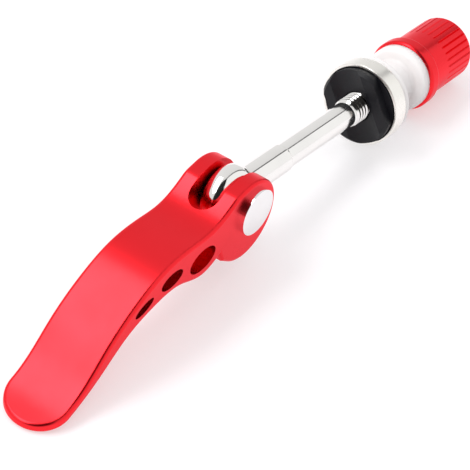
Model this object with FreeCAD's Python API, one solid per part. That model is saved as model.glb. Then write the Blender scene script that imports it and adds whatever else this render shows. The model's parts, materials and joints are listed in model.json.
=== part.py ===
import FreeCAD, Part
import math
import os

# Quick release skewer for a seatpost clamp: a cam lever on a pivot pin, an eye bolt,
# a cam saddle in its cup washer, a spool spacer and a fluted thumb nut.
# All lengths are millimetres. The skewer is drawn along +X with the pivot at x = 0 and
# the pivot pin along Y. At the end it is laid down as it rests on a table, with the
# origin on the skewer axis where the clamp sits.

# Eye bolt
BOLT_D = 6.0
SHANK_D = 5.35
NECK_END = 18.0
SHOULDER_TAPER = 0.6
THREAD_START = 41.5
THREAD_LEAD = 0.5
BOLT_CHAMFER = 0.8
EYE_R = 6.4
EYE_FLAT = 0.1
EYE_EDGE_R = 2.7

# Pivot pin
PIN_D = 5.0
PIN_HEAD_D = 9.5
PIN_HEAD_H = 1.25
PIN_HEAD_CROWN = 0.2
PIN_TAIL_CHAMFER = 0.3
PIN_CLEARANCE = 0.05

# Lever: the cam is a disc set off the pivot, and the arm is a bent tapering blade that
# widens a little from the fork to its round tip
LEVER_WIDTH = 12.6
FORK_X = -12.0
TIP_WIDTH = 13.4
TIP_ROUND_LENGTH = 5.8
SLOT_SIDE_CLEARANCE = 0.12
SLOT_REACH = 11.0
CAM_R = 8.65
CAM_THROW = 2.33
CAM_PHASE_DEG = 241.8
CAM_TOP_DEG = 103.0
LEVER_EDGE_R = 0.7

# Side view of the lever, as (x, z) from the pivot
HEEL = (-7.9, -8.1)
NOTCH = (-9.3, -5.6)
ARM_UNDER = ((-11.0, -6.8), (-14.5, -7.9), (-22.0, -6.3), (-29.5, -7.0), (-36.5, -9.6),
             (-43.5, -14.8), (-50.5, -19.2))
TIP_UNDER = (-57.5, -21.9)
TIP_TOP = (-57.5, -20.0)
ARM_TOP = ((-50.0, -16.7), (-43.0, -9.8), (-35.0, -3.4), (-27.5, 0.2), (-19.0, 1.3),
           (-11.5, 2.3), (-7.0, 5.0))
TIP_SLOPE_DEG = 20.0

# Oval windows through the arm: centre, half length, half height and slope in degrees
WINDOWS = (((-15.3, -3.7), 3.9, 2.5, 5.0),
           ((-24.9, -3.2), 3.2, 1.65, 6.0),
           ((-32.8, -5.2), 2.7, 1.05, 20.0))

# Cup washer
CUP_MOUTH = 47.3
CUP_DEPTH = 4.2
CUP_R = 8.9
CUP_WALL = 0.7
CUP_FLOOR = 1.0
CUP_BACK_R = 0.8
CUP_RIM_R = 0.2
WASHER_CLEARANCE = 0.2

# Cam saddle, a puck with a groove for the cam
SADDLE_RADIAL_CLEARANCE = 0.1
SADDLE_SEAT_CLEARANCE = 0.1
SADDLE_HORN_HEIGHT = 1.9
SADDLE_GROOVE_SPAN = 7.8
SADDLE_FLAT_SPAN = 12.8
SADDLE_BEVEL = 0.6
SADDLE_GROOVE_CLEARANCE = 0.1
SADDLE_HOLE_CLEARANCE = 0.3
SADDLE_TURN_DEG = 55.0

# Spool spacer between the clamp and the nut
SPACER_LENGTH = 12.3
SPACER_FRONT_INSET = 0.3
SPACER_FRONT_T = 1.8
SPACER_REAR_R = 7.1
SPACER_REAR_T = 2.4
SPACER_WAIST_R = 4.3
SPACER_COVE_R = 0.9
SPACER_EDGE_R = 0.8

# Thumb nut
NUT_LENGTH = 18.6
NUT_RIM_R = 7.7
NUT_RIM_T = 3.0
NUT_RIM_EDGE_R = 0.8
NUT_COVE_LENGTH = 0.5
NUT_GRIP_R = 6.9
NUT_END_R = 1.2
NUT_END_WALL = 2.3
NUT_BORE_SPARE = 1.5
NUT_FLUTES = 30
FLUTE_START = 7.4
FLUTE_WIDTH = 0.5
FLUTE_DEPTH = 0.28
FLUTE_RUNOUT = 1.4
THREAD_CLEARANCE = 0.05

# Places that follow from the sizes above
EYE_WIDTH = BOLT_D - 2 * EYE_FLAT
SLOT_WIDTH = BOLT_D + 2 * SLOT_SIDE_CLEARANCE
CAM_X = CAM_THROW * math.cos(math.radians(CAM_PHASE_DEG))
CAM_Z = CAM_THROW * math.sin(math.radians(CAM_PHASE_DEG))
GRIP_X = CUP_MOUTH + CUP_DEPTH
CUP_SEAT = GRIP_X - CUP_FLOOR
NUT_FRONT = GRIP_X + SPACER_LENGTH
NUT_END = NUT_FRONT + NUT_LENGTH
NUT_BORE_END = NUT_END - NUT_END_WALL
BOLT_END = NUT_BORE_END - NUT_BORE_SPARE
WASHER_HOLE_R = BOLT_D / 2 + WASHER_CLEARANCE
SPACER_FRONT_R = CUP_R - SPACER_FRONT_INSET
LIE_RISE = -TIP_UNDER[1] - NUT_GRIP_R
LIE_RUN = NUT_END - NUT_END_R - TIP_UNDER[0]
LIE_DEG = math.degrees(math.atan2(LIE_RISE, LIE_RUN))

ORIGIN = FreeCAD.Vector(0, 0, 0)
X_AXIS = FreeCAD.Vector(1, 0, 0)
Y_AXIS = FreeCAD.Vector(0, 1, 0)
Z_AXIS = FreeCAD.Vector(0, 0, 1)
TOLERANCE = 1e-3
OVERCUT = 100.0


def side_point(place):
    """A point (x, z) of the lever's side view, on its middle plane."""
    return FreeCAD.Vector(place[0], 0, place[1])


def side_direction(angle_deg):
    """A direction in the lever's side view, from +X towards +Z."""
    angle = math.radians(angle_deg)
    return FreeCAD.Vector(math.cos(angle), 0, math.sin(angle))


def cam_point(angle_deg):
    """The point of the cam disc at an angle from +X towards +Z."""
    return FreeCAD.Vector(CAM_X, 0, CAM_Z) + side_direction(angle_deg) * CAM_R


def rod(radius, start, end):
    """A round bar along the skewer axis."""
    return Part.makeCylinder(radius, end - start, FreeCAD.Vector(start, 0, 0), X_AXIS)


def cross_bar(radius, half_length):
    """A round bar along the pivot axis, centred on the pivot."""
    return Part.makeCylinder(radius, 2 * half_length, FreeCAD.Vector(0, -half_length, 0), Y_AXIS)


def turned(corners, axis=X_AXIS):
    """A solid turned about an axis from (station, radius) corners."""
    across = Y_AXIS if axis == X_AXIS else X_AXIS
    points = [axis * station + across * radius for station, radius in corners]
    face = Part.Face(Part.makePolygon(points + points[:1]))
    return face.revolve(ORIGIN, axis, 360)


def rounded(shape, places, radius):
    """The turned solid with its circles at the given (x, radius) places filleted."""
    edges = []
    for edge in shape.Edges:
        curve = edge.Curve
        if not isinstance(curve, Part.Circle):
            continue
        for x, circle_r in places:
            if abs(curve.Center.x - x) < TOLERANCE and abs(curve.Radius - circle_r) < TOLERANCE:
                edges.append(edge)
    return shape.makeFillet(radius, edges)


def spline(points, first=None, last=None):
    """A smooth edge through points, with set directions at its ends where given."""
    curve = Part.BSplineCurve()
    if first is None:
        curve.interpolate(points)
    else:
        curve.interpolate(Points=points, InitialTangent=first, FinalTangent=last)
    return curve.toShape()


def lever_side():
    """The lever's side view: cam disc, heel, notch and bent blade."""
    heel_x, heel_z = HEEL[0] - CAM_X, HEEL[1] - CAM_Z
    heel_angle = math.atan2(heel_z, heel_x) + math.acos(CAM_R / math.hypot(heel_x, heel_z))
    heel_deg = math.degrees(heel_angle)
    cam_top, cam_heel = cam_point(CAM_TOP_DEG), cam_point(heel_deg)
    cam_front = cam_point((CAM_TOP_DEG + heel_deg) / 2)
    heel, notch = side_point(HEEL), side_point(NOTCH)
    under = [notch] + [side_point(place) for place in ARM_UNDER + (TIP_UNDER,)]
    crest = [side_point(place) for place in (TIP_TOP,) + ARM_TOP] + [cam_top]
    edges = [
        Part.Arc(cam_top, cam_front, cam_heel).toShape(),
        Part.LineSegment(cam_heel, heel).toShape(),
        Part.LineSegment(heel, notch).toShape(),
        spline(under),
        Part.LineSegment(under[-1], crest[0]).toShape(),
        spline(crest, side_direction(TIP_SLOPE_DEG), side_direction(CAM_TOP_DEG - 90)),
    ]
    return Part.Face(Part.Wire(edges))


def lever_plan():
    """The lever seen from above: level sides at the fork, a widening blade and a round tip."""
    fork_half, tip_half = LEVER_WIDTH / 2, TIP_WIDTH / 2
    round_x = TIP_TOP[0] + TIP_ROUND_LENGTH
    middle, apex = FreeCAD.Vector(round_x, 0, 0), FreeCAD.Vector(TIP_TOP[0], 0, 0)
    left, right = middle + Y_AXIS * tip_half, middle - Y_AXIS * tip_half
    if tip_half > TIP_ROUND_LENGTH:
        tip = Part.ArcOfEllipse(Part.Ellipse(left, apex, middle), 0, math.pi)
    else:
        tip = Part.ArcOfEllipse(Part.Ellipse(apex, right, middle), -math.pi / 2, math.pi / 2)
    fork = Part.makePolygon([FreeCAD.Vector(FORK_X, -fork_half, 0), FreeCAD.Vector(OVERCUT, -fork_half, 0),
                             FreeCAD.Vector(OVERCUT, fork_half, 0), FreeCAD.Vector(FORK_X, fork_half, 0)])
    right_flank = spline([right, fork.Vertexes[0].Point], X_AXIS, X_AXIS)
    left_flank = spline([left, fork.Vertexes[-1].Point], X_AXIS, X_AXIS)
    return Part.Face(Part.Wire([tip.toShape(), right_flank] + fork.Edges + [left_flank]))


def flank_edges(blank):
    """The edges that run along the lever's two sides and round its tip."""
    round_x = TIP_TOP[0] + TIP_ROUND_LENGTH
    chosen = []
    for edge in blank.Edges:
        box = edge.BoundBox
        along_flank = box.XLength > LEVER_EDGE_R and abs(box.Center.y) > LEVER_WIDTH / 2 - TOLERANCE
        round_tip = box.XMax < round_x + TOLERANCE and box.YLength > LEVER_EDGE_R
        if along_flank or round_tip:
            chosen.append(edge)
    return chosen


def window_cutter(place, half_length, half_height, slope_deg):
    """An oval bar across the lever that cuts one window."""
    oval = Part.Ellipse(ORIGIN, half_length, half_height)
    cutter = Part.Face(Part.Wire(oval.toShape())).extrude(Z_AXIS * (2 * LEVER_WIDTH))
    cutter.translate(Z_AXIS * -LEVER_WIDTH)
    cutter.rotate(ORIGIN, X_AXIS, 90)
    cutter.rotate(ORIGIN, Y_AXIS, -slope_deg)
    cutter.translate(side_point(place))
    return cutter


def lever():
    """The lever: a blank with soft edges, fork slot, pin hole and oval windows."""
    side = lever_side()
    side.translate(Y_AXIS * -LEVER_WIDTH)
    plan = lever_plan()
    plan.translate(Z_AXIS * -OVERCUT)
    blank = side.extrude(Y_AXIS * (2 * LEVER_WIDTH)).common(plan.extrude(Z_AXIS * (2 * OVERCUT)))
    blank = blank.Solids[0]
    blank = blank.makeFillet(LEVER_EDGE_R, flank_edges(blank))
    slot_r = SLOT_WIDTH / 2
    slot_x = slot_r - SLOT_REACH
    slot = Part.makeBox(OVERCUT, SLOT_WIDTH, 2 * OVERCUT, FreeCAD.Vector(slot_x, -slot_r, -OVERCUT))
    slot_end = Part.makeCylinder(slot_r, 2 * OVERCUT, FreeCAD.Vector(slot_x, 0, -OVERCUT), Z_AXIS)
    cutters = [slot, slot_end, cross_bar(PIN_D / 2, LEVER_WIDTH)]
    cutters += [window_cutter(*window) for window in WINDOWS]
    return blank.cut(cutters).Solids[0]


def pivot_pin():
    """The pivot pin with its crowned head on the -Y side."""
    half_width = LEVER_WIDTH / 2
    pin_r, head_r = PIN_D / 2, PIN_HEAD_D / 2
    seat, rim = -half_width, -half_width - PIN_HEAD_H
    body = turned([(half_width, 0), (half_width, pin_r - PIN_TAIL_CHAMFER),
                   (half_width - PIN_TAIL_CHAMFER, pin_r), (seat, pin_r), (seat, head_r),
                   (rim, head_r), (rim, 0)], Y_AXIS)
    crown_r = (head_r ** 2 + PIN_HEAD_CROWN ** 2) / (2 * PIN_HEAD_CROWN)
    ball = Part.makeSphere(crown_r, FreeCAD.Vector(0, rim + crown_r, 0))
    return body.common(ball.fuse(cross_bar(pin_r, half_width))).Solids[0]


def skewer_bolt():
    """The eye bolt: rounded eye, plain neck, thinner shank and threaded end."""
    bolt_r, shank_r = BOLT_D / 2, SHANK_D / 2
    bar = turned([(0, 0), (0, bolt_r), (NECK_END, bolt_r), (NECK_END + SHOULDER_TAPER, shank_r),
                  (THREAD_START, shank_r), (THREAD_START + THREAD_LEAD, bolt_r),
                  (BOLT_END - BOLT_CHAMFER, bolt_r), (BOLT_END, bolt_r - BOLT_CHAMFER), (BOLT_END, 0)])
    eye = cross_bar(EYE_R, EYE_WIDTH / 2)
    rims = [edge for edge in eye.Edges if isinstance(edge.Curve, Part.Circle)]
    eye = eye.makeFillet(EYE_EDGE_R, rims)
    hole = cross_bar(PIN_D / 2 + PIN_CLEARANCE, BOLT_D)
    return eye.fuse(bar).removeSplitter().cut(hole).Solids[0]


def cup_washer():
    """The drawn cup that carries the saddle against the clamp."""
    inner_r = CUP_R - CUP_WALL
    cup = turned([(CUP_MOUTH, inner_r), (CUP_MOUTH, CUP_R), (GRIP_X, CUP_R),
                  (GRIP_X, WASHER_HOLE_R), (CUP_SEAT, WASHER_HOLE_R), (CUP_SEAT, inner_r)])
    cup = rounded(cup, [(GRIP_X, CUP_R)], CUP_BACK_R)
    return rounded(cup, [(CUP_MOUTH, CUP_R), (CUP_MOUTH, inner_r)], CUP_RIM_R)


def cam_saddle():
    """The saddle: a puck in the cup, with two flats and a round groove for the cam."""
    puck_r = CUP_R - CUP_WALL - SADDLE_RADIAL_CLEARANCE
    back = CUP_SEAT - SADDLE_SEAT_CLEARANCE
    horn_x = CUP_MOUTH - SADDLE_HORN_HEIGHT
    groove_r = CAM_R + SADDLE_GROOVE_CLEARANCE
    groove_x = horn_x - math.sqrt(groove_r ** 2 - (SADDLE_GROOVE_SPAN / 2) ** 2)
    block = Part.makeBox(SADDLE_HORN_HEIGHT, 2 * puck_r, SADDLE_FLAT_SPAN,
                         FreeCAD.Vector(horn_x, -puck_r, -SADDLE_FLAT_SPAN / 2))
    crown = turned([(horn_x, 0), (horn_x, puck_r - SADDLE_BEVEL), (horn_x + SADDLE_BEVEL, puck_r),
                    (CUP_MOUTH, puck_r), (CUP_MOUTH, 0)])
    horns = crown.common(block)
    groove = cross_bar(groove_r, CUP_R)
    groove.translate(X_AXIS * groove_x)
    hole = rod(BOLT_D / 2 + SADDLE_HOLE_CLEARANCE, horn_x, back)
    saddle = rod(puck_r, CUP_MOUTH, back).fuse(horns).removeSplitter().cut([groove, hole]).Solids[0]
    saddle.rotate(ORIGIN, X_AXIS, SADDLE_TURN_DEG)
    return saddle


def spacer():
    """The spool: two flanges and a waist with coves, drilled for the bolt."""
    waist_start, waist_end = GRIP_X + SPACER_FRONT_T, NUT_FRONT - SPACER_REAR_T
    spool = turned([(GRIP_X, WASHER_HOLE_R), (GRIP_X, SPACER_FRONT_R), (waist_start, SPACER_FRONT_R),
                    (waist_start, SPACER_WAIST_R), (waist_end, SPACER_WAIST_R),
                    (waist_end, SPACER_REAR_R), (NUT_FRONT, SPACER_REAR_R), (NUT_FRONT, WASHER_HOLE_R)])
    spool = rounded(spool, [(waist_start, SPACER_WAIST_R), (waist_end, SPACER_WAIST_R)], SPACER_COVE_R)
    edges = [(GRIP_X, SPACER_FRONT_R), (waist_start, SPACER_FRONT_R), (waist_end, SPACER_REAR_R)]
    return rounded(spool, edges, SPACER_EDGE_R)


def flute_cutter(start):
    """A bar of V section along the top of the nut's grip, rising to a point at its start."""
    low, high = NUT_GRIP_R - FLUTE_DEPTH, NUT_GRIP_R + FLUTE_DEPTH
    full_x = start + FLUTE_RUNOUT
    corners = [FreeCAD.Vector(full_x, 0, low), FreeCAD.Vector(full_x, FLUTE_WIDTH, high),
               FreeCAD.Vector(full_x, -FLUTE_WIDTH, high)]
    section = Part.makePolygon(corners + corners[:1])
    bar = Part.Face(section).extrude(X_AXIS * (NUT_END - start))
    point = Part.Vertex(start, 0, high)
    return bar.fuse(Part.makeLoft([point, section], True, True))


def thumb_nut():
    """The nut: a rounded front rim and a barrel with a fluted grip and a closed end."""
    cove_start = NUT_FRONT + NUT_RIM_T
    nut = turned([(NUT_FRONT, 0), (NUT_FRONT, NUT_RIM_R), (cove_start, NUT_RIM_R),
                  (cove_start + NUT_COVE_LENGTH, NUT_GRIP_R), (NUT_END, NUT_GRIP_R), (NUT_END, 0)])
    nut = rounded(nut, [(NUT_FRONT, NUT_RIM_R), (cove_start, NUT_RIM_R)], NUT_RIM_EDGE_R)
    nut = rounded(nut, [(NUT_END, NUT_GRIP_R)], NUT_END_R)
    flute = flute_cutter(NUT_FRONT + FLUTE_START)
    cutters = []
    for index in range(NUT_FLUTES):
        cutter = flute.copy()
        cutter.rotate(ORIGIN, X_AXIS, 360.0 * index / NUT_FLUTES)
        cutters.append(cutter)
    bore = rod(BOLT_D / 2 + THREAD_CLEARANCE, NUT_FRONT, NUT_BORE_END)
    return nut.cut(cutters + [bore]).Solids[0]


def laid_down(shape):
    """The shape moved to the clamp's place and tipped as the skewer lies on a table."""
    laid = shape.copy()
    laid.translate(X_AXIS * -GRIP_X)
    laid.rotate(ORIGIN, Y_AXIS, LIE_DEG)
    return laid


PIECES = {
    "lever": lever,
    "pivot_pin": pivot_pin,
    "skewer_bolt": skewer_bolt,
    "cup_washer": cup_washer,
    "cam_saddle": cam_saddle,
    "spacer": spacer,
    "thumb_nut": thumb_nut,
}

os.makedirs("parts", exist_ok=True)
for name, make in PIECES.items():
    piece = laid_down(make())
    piece.exportStep("parts/" + name + ".step")
    print(name, "valid", piece.isValid(), "volume", round(piece.Volume, 2))
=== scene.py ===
"""Dresses a quick release seat clamp skewer and lays it on a pale studio floor.

The CAD nodes keep their shapes and get their finishes here. The bolt's plain threaded end is
modelled again with a real helical thread.
"""

import json
import logging
import math
from dataclasses import dataclass
from enum import Enum
from typing import Any

import bpy
from mathutils import Matrix, Vector

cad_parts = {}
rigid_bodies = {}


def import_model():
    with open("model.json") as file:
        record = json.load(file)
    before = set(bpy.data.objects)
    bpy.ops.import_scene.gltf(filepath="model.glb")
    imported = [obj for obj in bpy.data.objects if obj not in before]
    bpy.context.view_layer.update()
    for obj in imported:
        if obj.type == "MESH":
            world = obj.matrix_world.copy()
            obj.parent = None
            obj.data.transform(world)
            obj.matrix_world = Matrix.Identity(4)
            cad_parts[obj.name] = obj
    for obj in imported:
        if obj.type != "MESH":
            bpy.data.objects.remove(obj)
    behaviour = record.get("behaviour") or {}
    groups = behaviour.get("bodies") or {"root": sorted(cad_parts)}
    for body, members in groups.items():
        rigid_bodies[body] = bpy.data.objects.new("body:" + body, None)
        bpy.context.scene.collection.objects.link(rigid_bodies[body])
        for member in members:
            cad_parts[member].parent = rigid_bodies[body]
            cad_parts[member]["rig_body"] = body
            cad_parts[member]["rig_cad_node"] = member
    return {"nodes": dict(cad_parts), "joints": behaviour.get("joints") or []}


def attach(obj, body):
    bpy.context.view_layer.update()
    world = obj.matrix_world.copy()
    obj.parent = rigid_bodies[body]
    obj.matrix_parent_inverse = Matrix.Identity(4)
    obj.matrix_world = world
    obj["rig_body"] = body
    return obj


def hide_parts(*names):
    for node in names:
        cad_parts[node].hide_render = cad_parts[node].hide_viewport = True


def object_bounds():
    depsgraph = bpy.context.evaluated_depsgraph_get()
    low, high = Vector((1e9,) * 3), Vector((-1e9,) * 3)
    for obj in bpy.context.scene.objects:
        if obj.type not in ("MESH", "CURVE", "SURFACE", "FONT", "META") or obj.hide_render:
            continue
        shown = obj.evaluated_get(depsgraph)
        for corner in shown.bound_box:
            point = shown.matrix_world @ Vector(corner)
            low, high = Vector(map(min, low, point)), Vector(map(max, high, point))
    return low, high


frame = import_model()
CAD_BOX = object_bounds()

LOG = logging.getLogger("skewer")
MM = 0.001
SMOOTH_ANGLE = math.radians(21.0)


class Slot(Enum):
    """The record's material slots."""

    RED = "red_anodised"
    CHROME = "chromed_steel"
    STEEL = "bright_steel"
    BLACK = "black_plastic"
    WHITE = "white_plastic"


def joint_named(name: str) -> dict[str, Any]:
    """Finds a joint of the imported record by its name."""
    return next(joint for joint in frame["joints"] if joint["name"] == name)


SKEWER_AXIS = Vector(joint_named("nut_turn")["axis"]).normalized()
LIE_ANGLE = math.atan2(-SKEWER_AXIS.z, SKEWER_AXIS.x)


def feed(tree: bpy.types.NodeTree, target: bpy.types.NodeSocket, value: Any) -> None:
    """Gives a node's input a value.

    Args:
        tree: The nodes of a material, a group or the world.
        target: The input.
        value: Another node's output, which is linked, or else a constant.
    """
    if isinstance(value, bpy.types.NodeSocket):
        tree.links.new(value, target)
    else:
        target.default_value = value


def feed_all(tree: bpy.types.NodeTree, node: bpy.types.Node, values: dict[str, Any]) -> None:
    """Gives a node's inputs their values by name, each as feed does."""
    for name, value in values.items():
        feed(tree, node.inputs[name], value)


def calculate(tree: bpy.types.NodeTree, operation: str, *values: Any) -> bpy.types.NodeSocket:
    """Adds a Math node.

    Args:
        tree: The nodes that it joins.
        operation: What it does with its values.
        values: Outputs or numbers, in the order of the node's inputs.

    Returns:
        The node's output.
    """
    node = tree.nodes.new("ShaderNodeMath")
    node.operation = operation
    for target, value in zip(node.inputs, values):
        feed(tree, target, value)
    return node.outputs["Value"]


def rescale(tree: bpy.types.NodeTree, value: bpy.types.NodeSocket, span: tuple[Any, Any],
            result: tuple[Any, Any] = (0.0, 1.0)) -> bpy.types.NodeSocket:
    """Adds a Map Range node, which stays between the two ends of its result.

    Args:
        tree: The nodes that it joins.
        value: The output that is rescaled.
        span: The two ends of the value.
        result: What the two ends become.

    Returns:
        The node's output.
    """
    node = tree.nodes.new("ShaderNodeMapRange")
    feed_all(tree, node, {"Value": value, "From Min": span[0], "From Max": span[1],
                          "To Min": result[0], "To Max": result[1]})
    return node.outputs["Result"]


def blend(tree: bpy.types.NodeTree, factor: Any, first: Any, second: Any) -> bpy.types.NodeSocket:
    """Adds a Mix node for two colours.

    Args:
        tree: The nodes that it joins.
        factor: The share of the second colour.
        first: An output, or a colour with its alpha.
        second: The same.

    Returns:
        The node's output.
    """
    node = tree.nodes.new("ShaderNodeMix")
    node.data_type = "RGBA"
    feed_all(tree, node, {"Factor": factor, "A": first, "B": second})
    return node.outputs["Result"]


class FineGrain:
    """The shader group for the fine unevenness of a finished surface."""

    NAME = "fine_grain"
    GRAIN_DETAIL = 3.0
    CLOUD_DETAIL = 4.0
    CLOUD_SPAN = (0.3, 0.7)

    def build(self) -> bpy.types.NodeTree:
        """Builds the group once.

        Returns:
            A group that puts out a roughness between two limits and a height for a bump.
        """
        group = bpy.data.node_groups.get(self.NAME)
        if group:
            return group
        group = bpy.data.node_groups.new(self.NAME, "ShaderNodeTree")
        for name in ("Grain Scale", "Cloud Scale", "Smoothest", "Roughest"):
            group.interface.new_socket(name, in_out="INPUT", socket_type="NodeSocketFloat")
        for name in ("Roughness", "Height"):
            group.interface.new_socket(name, in_out="OUTPUT", socket_type="NodeSocketFloat")
        nodes = group.nodes
        entry = nodes.new("NodeGroupInput")
        leave = nodes.new("NodeGroupOutput")
        place = nodes.new("ShaderNodeTexCoord")
        grain = nodes.new("ShaderNodeTexNoise")
        cloud = nodes.new("ShaderNodeTexNoise")
        for noise, scale, detail in ((grain, "Grain Scale", self.GRAIN_DETAIL),
                                     (cloud, "Cloud Scale", self.CLOUD_DETAIL)):
            feed_all(group, noise, {"Vector": place.outputs["Object"], "Scale": entry.outputs[scale],
                                    "Detail": detail})
        roughness = rescale(group, cloud.outputs["Fac"], self.CLOUD_SPAN,
                            (entry.outputs["Smoothest"], entry.outputs["Roughest"]))
        feed_all(group, leave, {"Roughness": roughness, "Height": grain.outputs["Fac"]})
        return group


@dataclass(frozen=True)
class Finish:
    """A surface finish with a fine grain.

    The colours are linear, and the tint is what the colour drifts to in soft clouds. The glow depth is
    how far light travels inside a plastic.
    """

    name: str
    colour: tuple[float, float, float]
    tint: tuple[float, float, float]
    metallic: float
    smoothest: float
    roughest: float
    grain_size: float
    cloud_size: float
    bump_depth: float
    coat: float = 0.0
    coat_roughness: float = 0.1
    specular: float = 0.5
    edge_tint: tuple[float, float, float] = (1.0, 1.0, 1.0)
    glow_depth: float = 0.0

    def material(self) -> bpy.types.Material:
        """Builds the finish as a procedural material.

        Returns:
            The material, made once for each finish.
        """
        made = bpy.data.materials.get(self.name)
        if made:
            return made
        made = bpy.data.materials.new(self.name)
        made.use_nodes = True
        tree = made.node_tree
        grain = tree.nodes.new("ShaderNodeGroup")
        grain.node_tree = FineGrain().build()
        feed_all(tree, grain, {"Grain Scale": 1.0 / self.grain_size, "Cloud Scale": 1.0 / self.cloud_size,
                               "Smoothest": self.smoothest, "Roughest": self.roughest})
        drift = rescale(tree, grain.outputs["Roughness"], (self.smoothest, self.roughest))
        bump = tree.nodes.new("ShaderNodeBump")
        feed_all(tree, bump, {"Strength": 1.0, "Distance": self.bump_depth,
                              "Height": grain.outputs["Height"]})
        feed_all(tree, tree.nodes["Principled BSDF"], {
            "Base Color": blend(tree, drift, (*self.colour, 1.0), (*self.tint, 1.0)),
            "Metallic": self.metallic,
            "Roughness": grain.outputs["Roughness"],
            "Normal": bump.outputs["Normal"],
            "Specular IOR Level": self.specular,
            "Specular Tint": (*self.edge_tint, 1.0),
            "Coat Weight": self.coat,
            "Coat Roughness": self.coat_roughness,
            "Subsurface Weight": 1.0 if self.glow_depth else 0.0,
            "Subsurface Radius": (1.0, 1.0, 1.0),
            "Subsurface Scale": self.glow_depth,
        })
        return made


RED_ANODISED = Finish("red_anodised_aluminium", colour=(0.92, 0.020, 0.030), tint=(0.88, 0.018, 0.027),
                      metallic=1.0, smoothest=0.27, roughest=0.33, grain_size=0.12 * MM,
                      cloud_size=9.0 * MM, bump_depth=0.0006 * MM, coat=0.2, coat_roughness=0.2,
                      edge_tint=(1.0, 0.6, 0.65))
CHROME = Finish("bright_chrome", colour=(0.86, 0.845, 0.85), tint=(0.83, 0.815, 0.82),
                metallic=1.0, smoothest=0.06, roughest=0.11, grain_size=0.4 * MM,
                cloud_size=4.0 * MM, bump_depth=0.0005 * MM)
SATIN_NICKEL = Finish("satin_nickel", colour=(0.92, 0.90, 0.86), tint=(0.89, 0.87, 0.82),
                      metallic=1.0, smoothest=0.24, roughest=0.32, grain_size=0.3 * MM,
                      cloud_size=4.0 * MM, bump_depth=0.0006 * MM)
BRIGHT_STEEL = Finish("bright_plated_steel", colour=(0.90, 0.885, 0.865), tint=(0.87, 0.855, 0.835),
                      metallic=1.0, smoothest=0.07, roughest=0.12, grain_size=0.5 * MM,
                      cloud_size=5.0 * MM, bump_depth=0.0006 * MM)
# Painted shade: a dark steel colour on the thread's roots, standing in for the shade in the crevices
# between the crests.
PAINTED_ROOT_SHADE = Finish("painted_thread_root_shade", colour=(0.05, 0.042, 0.036), tint=(0.035, 0.03, 0.025),
                     metallic=1.0, smoothest=0.20, roughest=0.30, grain_size=0.2 * MM,
                     cloud_size=2.0 * MM, bump_depth=0.0006 * MM)
BLACK_NYLON = Finish("black_nylon", colour=(0.006, 0.006, 0.008), tint=(0.010, 0.010, 0.013),
                     metallic=0.0, smoothest=0.34, roughest=0.46, grain_size=0.15 * MM,
                     cloud_size=3.0 * MM, bump_depth=0.006 * MM, specular=0.25)
WHITE_NYLON = Finish("white_nylon", colour=(0.95, 0.91, 0.90), tint=(0.93, 0.89, 0.88),
                     metallic=0.0, smoothest=0.38, roughest=0.50, grain_size=0.2 * MM,
                     cloud_size=4.0 * MM, bump_depth=0.004 * MM, glow_depth=1.5 * MM)


def only_active(piece: bpy.types.Object) -> None:
    """Selects one object alone and makes it the active one.

    Args:
        piece: The object.
    """
    bpy.ops.object.select_all(action="DESELECT")
    piece.select_set(True)
    bpy.context.view_layer.objects.active = piece


def dress(piece: bpy.types.Object, finish: Finish, slot: Slot) -> None:
    """Gives an object one finish all over.

    Args:
        piece: A CAD node or a new piece.
        finish: The finish that it gets.
        slot: The slot that the record gives the piece.
    """
    piece.data.materials.clear()
    piece.data.materials.append(finish.material())
    LOG.info("%s: %s, in slot %s", piece.name, finish.name, slot.value)


@dataclass
class PlainNode:
    """A CAD node whose shape is right and that only needs its finish."""

    node: str
    finish: Finish
    slot: Slot

    def dress(self) -> None:
        """Puts the finish on the node."""
        dress(frame["nodes"][self.node], self.finish, self.slot)


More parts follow.
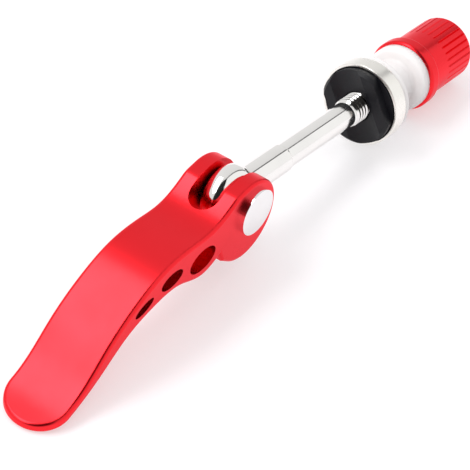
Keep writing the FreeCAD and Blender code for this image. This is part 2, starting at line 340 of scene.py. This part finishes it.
@dataclass
class ThreadedBolt:
    """The eye bolt with a rolled helical thread in place of the plain threaded end.

    Stations are distances along the bolt from the back of the cup washer, towards the nut. The flank and
    the crest have shares of the pitch, and the thread begins sunk to a share of the shank's radius.
    """

    node: str = "skewer_bolt"
    pitch: float = 1.0 * MM
    flank_share: float = 0.3125
    crest_share: float = 0.125
    crest_radius: float = 3.0 * MM
    root_radius: float = 2.459 * MM
    shank_radius: float = 2.675 * MM
    sunk_share: float = 0.98
    shank_end: float = -10.0 * MM
    thread_end: float = 27.1 * MM
    buried: float = 0.3 * MM
    fade: float = 1.3 * MM
    chamfer: float = 0.8 * MM
    # How far up the flanks the painted root shade reaches.
    root_shade_height: float = 0.27 * MM
    copy_weld: float = 0.001 * MM
    weld: float = 0.002 * MM
    cut_tolerance: float = 0.0005 * MM
    spare_turns: int = 2
    steps: int = 48

    def build(self) -> bpy.types.Object:
        """Models the bolt.

        Returns:
            The finished bolt, in place of the plain node.
        """
        bolt = self.shank()
        thread = self.thread()
        only_active(bolt)
        thread.select_set(True)
        bpy.ops.object.join()
        bolt.name = "threaded_bolt"
        bpy.ops.object.shade_smooth_by_angle(angle=SMOOTH_ANGLE)
        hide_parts(self.node)
        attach(bolt, "skewer")
        return bolt

    def shank(self) -> bpy.types.Object:
        """Copies the node's eye, neck and shank.

        Returns:
            The copy, closed where the thread begins.
        """
        plain = frame["nodes"][self.node]
        copy = plain.copy()
        copy.data = plain.data.copy()
        bpy.context.scene.collection.objects.link(copy)
        copy.parent = None
        copy.matrix_world = Matrix.Identity(4)
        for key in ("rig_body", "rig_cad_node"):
            del copy[key]
        only_active(copy)
        bpy.ops.object.mode_set(mode="EDIT")
        bpy.ops.mesh.select_all(action="SELECT")
        bpy.ops.mesh.remove_doubles(threshold=self.copy_weld)
        bpy.ops.mesh.bisect(plane_co=SKEWER_AXIS * self.shank_end, plane_no=SKEWER_AXIS,
                            use_fill=True, clear_outer=True, threshold=self.cut_tolerance)
        bpy.ops.object.mode_set(mode="OBJECT")
        bpy.ops.mesh.customdata_custom_splitnormals_clear()
        return copy

    def thread(self) -> bpy.types.Object:
        """Winds the thread from a profile of one pitch.

        Returns:
            The thread as a closed shell, laid along the bolt.
        """
        start = self.shank_end - self.buried
        turns = math.ceil((self.thread_end - start) / self.pitch) + self.spare_turns
        thread = self.profile(start - self.spare_turns * self.pitch)
        winding = thread.modifiers.new("winding", "SCREW")
        winding.axis = "X"
        winding.screw_offset = self.pitch
        winding.iterations = turns
        winding.steps = self.steps
        winding.render_steps = self.steps
        bpy.ops.object.modifier_apply(modifier=winding.name)
        bpy.ops.object.mode_set(mode="EDIT")
        bpy.ops.mesh.select_all(action="SELECT")
        bpy.ops.mesh.remove_doubles(threshold=self.weld)
        bpy.ops.mesh.bisect(plane_co=(start, 0, 0), plane_no=(1, 0, 0), use_fill=True,
                            clear_inner=True, threshold=self.cut_tolerance)
        bpy.ops.mesh.select_all(action="SELECT")
        bpy.ops.mesh.bisect(plane_co=(self.thread_end, 0, 0), plane_no=(1, 0, 0), use_fill=True,
                            clear_outer=True, threshold=self.cut_tolerance)
        bpy.ops.mesh.select_all(action="SELECT")
        bpy.ops.mesh.remove_doubles(threshold=self.weld)
        bpy.ops.mesh.normals_make_consistent(inside=False)
        bpy.ops.object.mode_set(mode="OBJECT")
        for vertex in thread.data.vertices:
            self.trim(vertex, start)
        thread.rotation_euler = (0.0, LIE_ANGLE, 0.0)
        bpy.ops.object.transform_apply(location=False, rotation=True, scale=False)
        return thread

    def profile(self, start: float) -> bpy.types.Object:
        """Draws one pitch of the thread's section as a chain of edges.

        Args:
            start: The station where the chain begins.

        Returns:
            The chain, active and selected.
        """
        root_shade_radius = self.root_radius + self.root_shade_height
        root_shade_share = self.flank_share * self.root_shade_height / (self.crest_radius - self.root_radius)
        crest_end = self.flank_share + self.crest_share
        root_begin = crest_end + self.flank_share
        # The flanks are split where the painted root shade ends.
        points = ((0.0, self.root_radius), (root_shade_share, root_shade_radius), (self.flank_share, self.crest_radius),
                  (crest_end, self.crest_radius), (root_begin - root_shade_share, root_shade_radius),
                  (root_begin, self.root_radius), (1.0, self.root_radius))
        bpy.ops.object.select_all(action="DESELECT")
        bpy.ops.mesh.primitive_plane_add(size=self.pitch)
        chain = bpy.context.object
        bpy.ops.object.mode_set(mode="EDIT")
        bpy.ops.mesh.select_all(action="SELECT")
        bpy.ops.mesh.merge(type="CENTER")
        bpy.ops.transform.translate(value=(start, 0.0, self.root_radius))
        for before, after in zip(points, points[1:]):
            step = ((after[0] - before[0]) * self.pitch, 0.0, after[1] - before[1])
            bpy.ops.mesh.extrude_region_move(TRANSFORM_OT_translate={"value": step})
        bpy.ops.object.mode_set(mode="OBJECT")
        return chain

    def trim(self, vertex: bpy.types.MeshVertex, start: float) -> None:
        """Fades the thread in where it leaves the shank and chamfers its far end.

        Args:
            vertex: A point of the thread, before it is laid down.
            start: The station where the thread begins.
        """
        across = Vector((0.0, vertex.co.y, vertex.co.z))
        radius = across.length
        if radius == 0.0:
            return
        share = min(max((vertex.co.x - start) / self.fade, 0.0), 1.0)
        share = share * share * (3.0 - 2.0 * share)
        base = self.shank_radius * self.sunk_share
        wanted = base + (radius - base) * share
        wanted = min(wanted, self.crest_radius - self.chamfer + self.thread_end - vertex.co.x)
        across *= wanted / radius
        vertex.co = (vertex.co.x, across.y, across.z)

    def dress(self, bolt: bpy.types.Object) -> None:
        """Puts the plated finish on the bolt, and painted shade in the roots of its thread.

        Args:
            bolt: The finished bolt.
        """
        dress(bolt, BRIGHT_STEEL, Slot.STEEL)
        bolt.data.materials.append(PAINTED_ROOT_SHADE.material())
        # Thread faces below this radius get the painted root shade.
        root_shade_top = self.root_radius + self.root_shade_height
        for face in bolt.data.polygons:
            station = face.center.dot(SKEWER_AXIS)
            radius = (face.center - SKEWER_AXIS * station).length
            threaded = self.shank_end + self.fade < station < self.thread_end - self.chamfer
            face.material_index = 1 if threaded and radius < root_shade_top else 0


@dataclass
class Studio:
    """The pale floor, the soft lamp and the surroundings that the metal reflects.

    Places in the surroundings are parts of a direction of length one. Where the gap has a pair of values,
    the first is for the +X side and the second for the -X side.
    """

    floor_size: float = 6.0
    floor_colour: tuple[float, float, float] = (0.60, 0.595, 0.61)
    floor_roughness: float = 0.6
    floor_specular: float = 0.2
    floor_lift: float = 0.44
    lamp_place: tuple[float, float, float] = (-0.366, 0.293, 0.586)
    lamp_size: tuple[float, float] = (0.76, 0.22)
    lamp_watts: float = 2.5
    plain_light: tuple[float, float, float] = (0.84, 0.82, 0.825)
    wall_greys: tuple[tuple[float, float], ...] = ((-1.0, 1.0), (-0.08, 1.0), (-0.06, 0.79), (1.0, 0.9))
    dark: tuple[float, float, float] = (0.02, 0.02, 0.02)
    gap_ends: tuple[float, float] = (0.1, -0.3)
    gap_middle: tuple[float, float] = (-0.065, -0.15)
    gap_reach: tuple[float, float] = (0.045, 0.3)
    gap_blur: float = 0.02
    camera_edge: tuple[float, float] = (0.89, 0.94)

    def build(self, floor_height: float, camera_side: Vector) -> None:
        """Builds the stage under the object.

        Args:
            floor_height: The height of the lowest point of the object.
            camera_side: The direction from the object to the camera.
        """
        bpy.ops.object.select_all(action="DESELECT")
        bpy.ops.mesh.primitive_plane_add(size=self.floor_size, location=(0.0, 0.0, floor_height))
        floor = bpy.context.object
        floor.name = "studio_floor"
        floor.data.materials.append(self.floor_material())
        self.lamp()
        self.surroundings(camera_side)

    def floor_material(self) -> bpy.types.Material:
        """Makes a white sweep that keeps the shadow and shows white where it is seen.

        Returns:
            The floor's material.
        """
        made = bpy.data.materials.new("white_sweep")
        made.use_nodes = True
        tree = made.node_tree
        path = tree.nodes.new("ShaderNodeLightPath").outputs
        seen = calculate(tree, "ADD", path["Is Camera Ray"], path["Is Glossy Ray"])
        seen = calculate(tree, "ADD", seen, path["Is Transmission Ray"])
        feed_all(tree, tree.nodes["Principled BSDF"], {
            "Base Color": (*self.floor_colour, 1.0),
            "Roughness": self.floor_roughness,
            "Specular IOR Level": self.floor_specular,
            "Emission Color": (1.0, 1.0, 1.0, 1.0),
            "Emission Strength": calculate(tree, "MULTIPLY", seen, self.floor_lift),
        })
        return made

    def lamp(self) -> None:
        """Hangs one long soft lamp over the floor, level along X."""
        data = bpy.data.lights.new("softbox", "AREA")
        data.shape = "RECTANGLE"
        data.size, data.size_y = self.lamp_size
        data.energy = self.lamp_watts
        lamp = bpy.data.objects.new("softbox", data)
        bpy.context.scene.collection.objects.link(lamp)
        place = Vector(self.lamp_place)
        back = place.normalized()
        along = Vector((1.0, 0.0, 0.0))
        along = (along - back * along.dot(back)).normalized()
        turn = Matrix((along, back.cross(along), back)).transposed().to_4x4()
        lamp.matrix_world = Matrix.Translation(place) @ turn

    def surroundings(self, camera_side: Vector) -> None:
        """Paints the walls that the metal reflects. Dull surfaces get plain light from all sides.

        Args:
            camera_side: The direction from the object to the camera.
        """
        world = bpy.data.worlds.new("studio_walls")
        bpy.context.scene.world = world
        world.use_nodes = True
        world.cycles.sampling_method = "NONE"
        tree = world.node_tree
        direction = tree.nodes.new("ShaderNodeTexCoord").outputs["Generated"]
        parts = tree.nodes.new("ShaderNodeSeparateXYZ")
        feed(tree, parts.inputs["Vector"], direction)
        gap = self.gap(tree, parts.outputs["X"], parts.outputs["Y"])
        shade = self.camera_shade(tree, direction, camera_side)
        darkness = calculate(tree, "MAXIMUM", gap, shade)
        mirrored = blend(tree, darkness, self.walls(tree, parts.outputs["Y"]), (*self.dark, 1.0))
        path = tree.nodes.new("ShaderNodeLightPath").outputs
        light = blend(tree, path["Is Glossy Ray"], (*self.plain_light, 1.0), mirrored)
        feed(tree, tree.nodes["Background"].inputs["Color"], light)

    def walls(self, tree: bpy.types.NodeTree, across: bpy.types.NodeSocket) -> bpy.types.NodeSocket:
        """Paints a white wall on the -Y side and a slightly darker one on the +Y side.

        Args:
            tree: The world's nodes.
            across: The direction's Y.

        Returns:
            The walls' colour.
        """
        ramp = tree.nodes.new("ShaderNodeValToRGB")
        elements = ramp.color_ramp.elements
        while len(elements) < len(self.wall_greys):
            elements.new(0.5)
        for element, (place, grey) in zip(elements, self.wall_greys):
            element.position = (place + 1.0) / 2.0
            element.color = (grey, grey, grey, 1.0)
        feed(tree, ramp.inputs["Fac"], rescale(tree, across, (-1.0, 1.0)))
        return ramp.outputs["Color"]

    def gap(self, tree: bpy.types.NodeTree, along: bpy.types.NodeSocket,
            across: bpy.types.NodeSocket) -> bpy.types.NodeSocket:
        """Leaves a dark gap between the two walls, which widens towards -X.

        Args:
            tree: The world's nodes.
            along: The direction's X.
            across: The direction's Y.

        Returns:
            How dark it is, from 0 to 1.
        """
        middle = rescale(tree, along, self.gap_ends, self.gap_middle)
        reach = rescale(tree, along, self.gap_ends, self.gap_reach)
        distance = calculate(tree, "ABSOLUTE", calculate(tree, "SUBTRACT", across, middle))
        depth = calculate(tree, "SUBTRACT", reach, distance)
        return rescale(tree, depth, (-self.gap_blur, self.gap_blur))

    def camera_shade(self, tree: bpy.types.NodeTree, direction: bpy.types.NodeSocket,
                     camera_side: Vector) -> bpy.types.NodeSocket:
        """Darkens the place round the camera.

        Args:
            tree: The world's nodes.
            direction: The direction from the object.
            camera_side: The direction from the object to the camera.

        Returns:
            How dark it is, from 0 to 1.
        """
        nearness = tree.nodes.new("ShaderNodeVectorMath")
        nearness.operation = "DOT_PRODUCT"
        nearness.inputs[1].default_value = camera_side
        feed(tree, nearness.inputs[0], direction)
        return rescale(tree, nearness.outputs["Value"], self.camera_edge)


@dataclass(frozen=True)
class PhotoView:
    """The camera at the photograph's place: a long lens, looking down on the lever.

    The angles and the target are measured from the skewer's axis and the lever's pivot.
    """

    azimuth: float = math.radians(-61.3)
    elevation: float = math.radians(35.7)
    roll: float = math.radians(11.34)
    distance: float = 376.7 * MM
    target: tuple[float, float, float] = (-1.54 * MM, -4.28 * MM, -6.14 * MM)
    lens: float = 153.2
    clip_start: float = 10.0 * MM

    def build(self) -> bpy.types.Object:
        """Creates the camera and makes it the scene's own.

        Returns:
            The camera.
        """
        flat = Vector((math.cos(self.azimuth), math.sin(self.azimuth), 0.0))
        back = Vector((math.sin(self.azimuth) * math.cos(self.elevation),
                       -math.cos(self.azimuth) * math.cos(self.elevation), math.sin(self.elevation)))
        rise = back.cross(flat)
        right = flat * math.cos(self.roll) + rise * math.sin(self.roll)
        up = rise * math.cos(self.roll) - flat * math.sin(self.roll)
        data = bpy.data.cameras.new("photo_view")
        data.lens = self.lens
        data.clip_start = self.clip_start
        camera = bpy.data.objects.new("photo_view", data)
        bpy.context.scene.collection.objects.link(camera)
        turn = Matrix((right, up, back)).transposed().to_4x4()
        place = Matrix.Translation(Vector(self.target) + back * self.distance) @ turn
        pivot = Matrix.Translation(joint_named("lever_pivot")["pos_m"])
        camera.matrix_world = pivot @ Matrix.Rotation(LIE_ANGLE, 4, "Y") @ place
        bpy.context.scene.camera = camera
        return camera


def main() -> None:
    """Builds and dresses the skewer, then the studio and the camera."""
    logging.basicConfig(level=logging.INFO)
    bolt = ThreadedBolt()
    bolt.dress(bolt.build())
    for node in (
        PlainNode("lever", RED_ANODISED, Slot.RED),
        PlainNode("thumb_nut", RED_ANODISED, Slot.RED),
        PlainNode("pivot_pin", CHROME, Slot.CHROME),
        PlainNode("cup_washer", SATIN_NICKEL, Slot.CHROME),
        PlainNode("cam_saddle", BLACK_NYLON, Slot.BLACK),
        PlainNode("spacer", WHITE_NYLON, Slot.WHITE),
    ):
        node.dress()
    camera = PhotoView().build()
    Studio().build(CAD_BOX[0].z, camera.matrix_world.translation.normalized())
    bpy.context.scene.view_settings.view_transform = "Standard"


if __name__ == "__main__":
    main()
